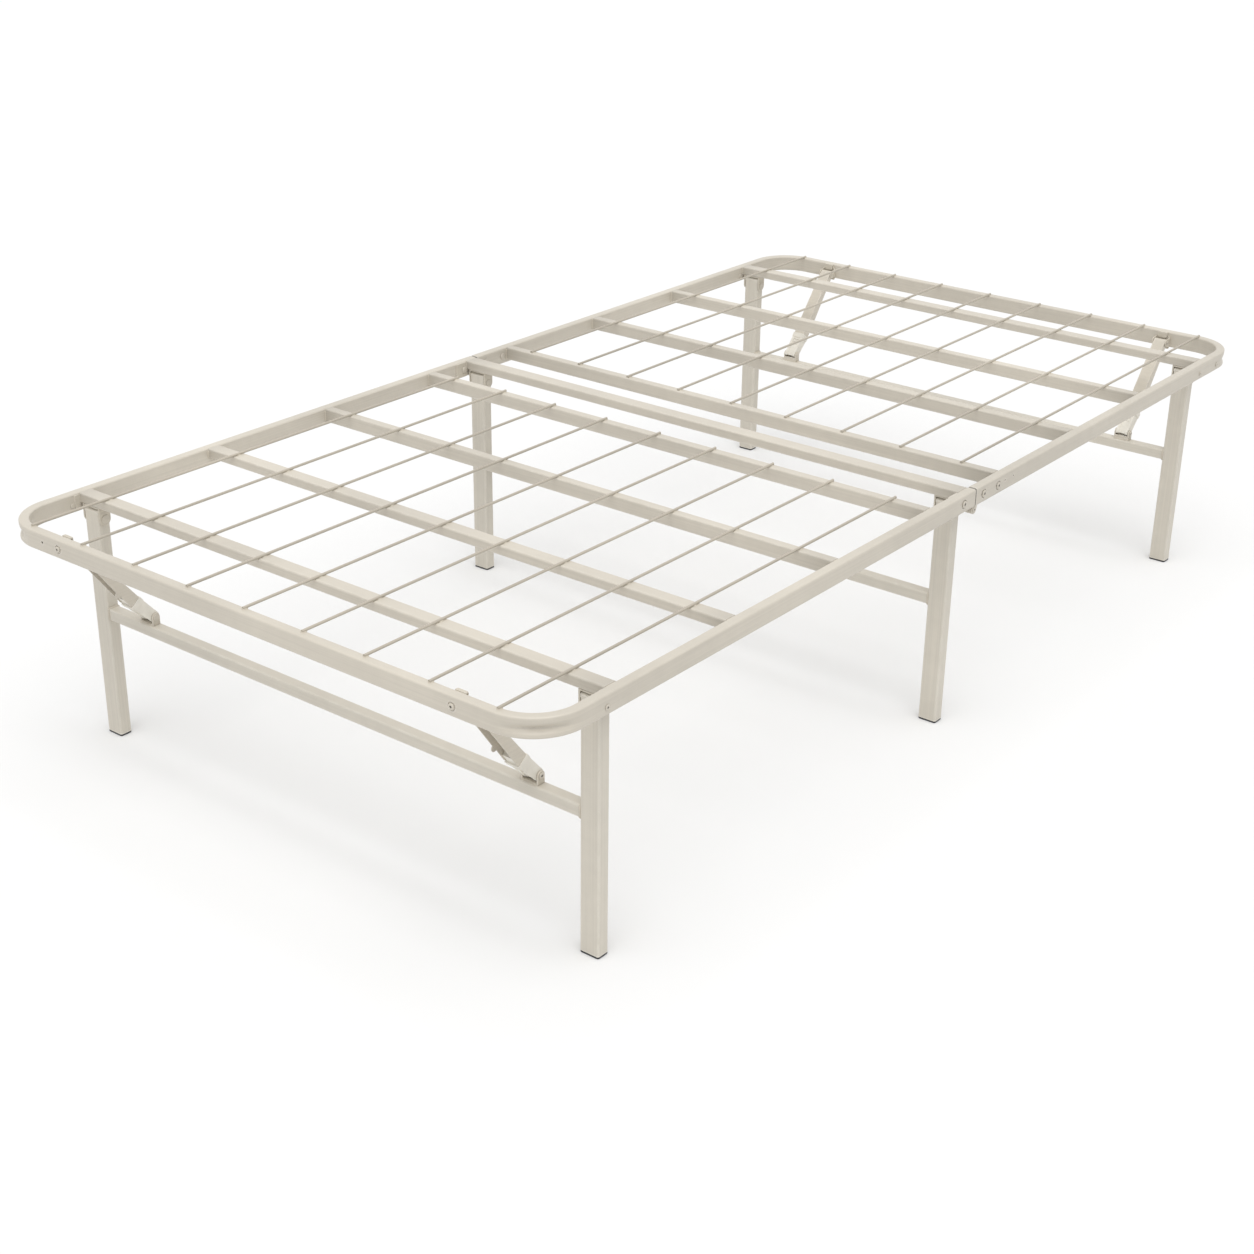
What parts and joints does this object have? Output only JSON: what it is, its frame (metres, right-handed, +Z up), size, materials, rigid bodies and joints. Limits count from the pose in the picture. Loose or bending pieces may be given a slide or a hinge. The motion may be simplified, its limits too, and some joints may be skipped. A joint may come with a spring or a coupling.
{
  "type": "folding metal bed frame",
  "caption": "Low folding platform bed frame of coated steel tube: halves hinged across the middle, slats and lengthwise wires, folding leg frames, diagonal struts.",
  "frame": {"origin": "on the floor, under the middle of the bed's plan", "axes": "+X to the right side seen from the foot end, +Y towards the head end, +Z up"},
  "size_m": [0.994, 1.909, 0.3848],
  "materials": {
    "powder_coat": "satin cream powder coat",
    "coated_wire": "satin cream powder coat on wire",
    "coated_fastener": "satin cream coat over domed rivets and pins",
    "clip_plastic": "moulded pale plastic",
    "cap_plastic": "moulded near-black plastic"
  },
  "bodies": {
    "foot_half": {"foot_hinge_bar_l": "powder_coat", "foot_hinge_bar_r": "powder_coat", "foot_hinge_bolts": "coated_fastener", "foot_leg_brackets": "powder_coat", "foot_leg_pins": "coated_fastener", "foot_rail": "powder_coat", "foot_slat_1": "powder_coat", "foot_slat_2": "powder_coat", "foot_slat_3": "powder_coat", "foot_slat_4": "powder_coat", "foot_strut_bolts": "coated_fastener", "foot_strut_bracket_l": "powder_coat", "foot_strut_bracket_r": "powder_coat", "foot_strut_pins": "coated_fastener", "foot_wires": "coated_wire", "hinge_pins": "coated_fastener", "mid_beam": "powder_coat", "mid_leg_brackets": "powder_coat", "mid_leg_pins": "coated_fastener"},
    "head_half": {"head_hinge_bar_l": "powder_coat", "head_hinge_bar_r": "powder_coat", "head_hinge_bolts": "coated_fastener", "head_leg_brackets": "powder_coat", "head_leg_pins": "coated_fastener", "head_rail": "powder_coat", "head_slat_1": "powder_coat", "head_slat_2": "powder_coat", "head_slat_3": "powder_coat", "head_slat_4": "powder_coat", "head_strut_bolts": "coated_fastener", "head_strut_bracket_l": "powder_coat", "head_strut_bracket_r": "powder_coat", "head_strut_pins": "coated_fastener", "head_wires": "coated_wire"},
    "foot_legs": {"foot_crossbar": "powder_coat", "foot_leg_caps": "cap_plastic", "foot_leg_l": "powder_coat", "foot_leg_r": "powder_coat", "foot_saddle_pins": "coated_fastener", "foot_saddles": "powder_coat"},
    "mid_legs": {"mid_crossbar": "powder_coat", "mid_leg_caps": "cap_plastic", "mid_leg_l": "powder_coat", "mid_leg_r": "powder_coat"},
    "head_legs": {"head_crossbar": "powder_coat", "head_leg_caps": "cap_plastic", "head_leg_l": "powder_coat", "head_leg_r": "powder_coat", "head_saddle_pins": "coated_fastener", "head_saddles": "powder_coat"},
    "foot_strut_l_arm": {"foot_strut_clip_l": "clip_plastic", "foot_strut_l": "powder_coat"},
    "foot_strut_r_arm": {"foot_strut_clip_r": "clip_plastic", "foot_strut_r": "powder_coat"},
    "head_strut_l_arm": {"head_strut_clip_l": "clip_plastic", "head_strut_l": "powder_coat"},
    "head_strut_r_arm": {"head_strut_clip_r": "clip_plastic", "head_strut_r": "powder_coat"}
  },
  "joints": [
    {"name": "frame_fold", "type": "hinge", "parent": "foot_half", "child": "head_half", "pos_m": [0, 0.015, 0.3485], "axis": [-1, 0, 0], "range_deg": [0, 175]},
    {"name": "foot_leg_fold", "type": "hinge", "parent": "foot_half", "child": "foot_legs", "pos_m": [0, -0.8125, 0.347], "axis": [1, 0, 0], "range_deg": [0, 90]},
    {"name": "mid_leg_fold", "type": "hinge", "parent": "foot_half", "child": "mid_legs", "pos_m": [0, 0, 0.347], "axis": [-1, 0, 0], "range_deg": [0, 90]},
    {"name": "head_leg_fold", "type": "hinge", "parent": "head_half", "child": "head_legs", "pos_m": [0, 0.8125, 0.347], "axis": [-1, 0, 0], "range_deg": [0, 90]},
    {"name": "foot_strut_l_swing", "type": "hinge", "parent": "foot_half", "child": "foot_strut_l_arm", "pos_m": [-0.36, -0.9275, 0.363], "axis": [1, 0, 0], "range_deg": [0, 48.8]},
    {"name": "foot_strut_r_swing", "type": "hinge", "parent": "foot_half", "child": "foot_strut_r_arm", "pos_m": [0.36, -0.9275, 0.363], "axis": [1, 0, 0], "range_deg": [0, 48.8]},
    {"name": "head_strut_l_swing", "type": "hinge", "parent": "head_half", "child": "head_strut_l_arm", "pos_m": [-0.36, 0.9275, 0.363], "axis": [-1, 0, 0], "range_deg": [0, 48.8]},
    {"name": "head_strut_r_swing", "type": "hinge", "parent": "head_half", "child": "head_strut_r_arm", "pos_m": [0.36, 0.9275, 0.363], "axis": [-1, 0, 0], "range_deg": [0, 48.8]}
  ],
  "couplings": [
    {"joint": "foot_leg_fold", "follows": "frame_fold", "ratio": 0.5142},
    {"joint": "mid_leg_fold", "follows": "frame_fold", "ratio": 0.5142},
    {"joint": "head_leg_fold", "follows": "frame_fold", "ratio": 0.5142},
    {"joint": "foot_strut_l_swing", "follows": "frame_fold", "ratio": 0.2788},
    {"joint": "foot_strut_r_swing", "follows": "frame_fold", "ratio": 0.2788},
    {"joint": "head_strut_l_swing", "follows": "frame_fold", "ratio": 0.2788},
    {"joint": "head_strut_r_swing", "follows": "frame_fold", "ratio": 0.2788}
  ]
}
